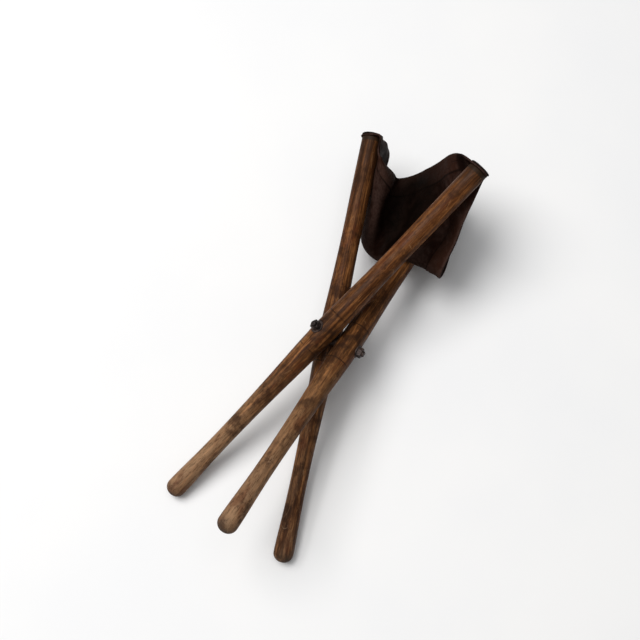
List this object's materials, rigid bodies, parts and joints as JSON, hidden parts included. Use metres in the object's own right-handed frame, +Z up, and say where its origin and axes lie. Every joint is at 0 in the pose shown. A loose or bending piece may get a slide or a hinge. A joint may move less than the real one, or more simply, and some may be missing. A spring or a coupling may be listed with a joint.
{
  "type": "folding stool",
  "caption": "Three-leg folding field stool lying partly folded: turned wooden legs crossing at a three-way bolt, with a leather triangle for a seat.",
  "frame": {"origin": "on the ground, under the middle of the lying stool's box", "axes": "+Z up from the ground it lies on; +Y along the stool from its feet to its seat end"},
  "size_m": [0.1981, 0.5944, 0.1944],
  "materials": {
    "leg_wood": "old worn oil finish, dark stained at the bolt",
    "bolt_iron": "blackened forged iron",
    "fastener_iron": "blackened iron with brown rust",
    "seat_leather": "thick dark reddish brown leather, worn and creased",
    "patch_leather": "thick near-black leather",
    "tack_iron": "blackened domed head"
  },
  "bodies": {
    "bolt": {"three_way_bolt": "bolt_iron", "seat_leather": "seat_leather", "washer_a": "fastener_iron", "washer_b": "fastener_iron", "washer_c": "fastener_iron", "nut_a": "fastener_iron", "nut_b": "fastener_iron", "nut_c": "fastener_iron"},
    "leg_a": {"leg_a": "leg_wood", "corner_patch_a": "patch_leather", "tack_a": "tack_iron"},
    "leg_b": {"leg_b": "leg_wood", "corner_patch_b": "patch_leather", "tack_b": "tack_iron"},
    "leg_c": {"leg_c": "leg_wood", "corner_patch_c": "patch_leather", "tack_c": "tack_iron"}
  },
  "joints": [
    {"name": "leg_a_swing", "type": "hinge", "parent": "bolt", "child": "leg_a", "pos_m": [0.0032, 0.00108, 0.05782], "axis": [0.3469, -0.0468, 0.9367], "range_deg": [-17.5, 23], "deforming": ["seat_leather"]},
    {"name": "leg_b_swing", "type": "hinge", "parent": "bolt", "child": "leg_b", "pos_m": [-0.00322, -0.0008, 0.09533], "axis": [0.6388, 0.0384, -0.7684], "range_deg": [-21.5, 19], "deforming": ["seat_leather"]},
    {"name": "leg_c_swing", "type": "hinge", "parent": "bolt", "child": "leg_c", "pos_m": [0.03252, -0.00014, 0.08213], "axis": [-0.9857, 0.0084, -0.1683], "range_deg": [-16, 24.5], "deforming": ["seat_leather"]}
  ]
}
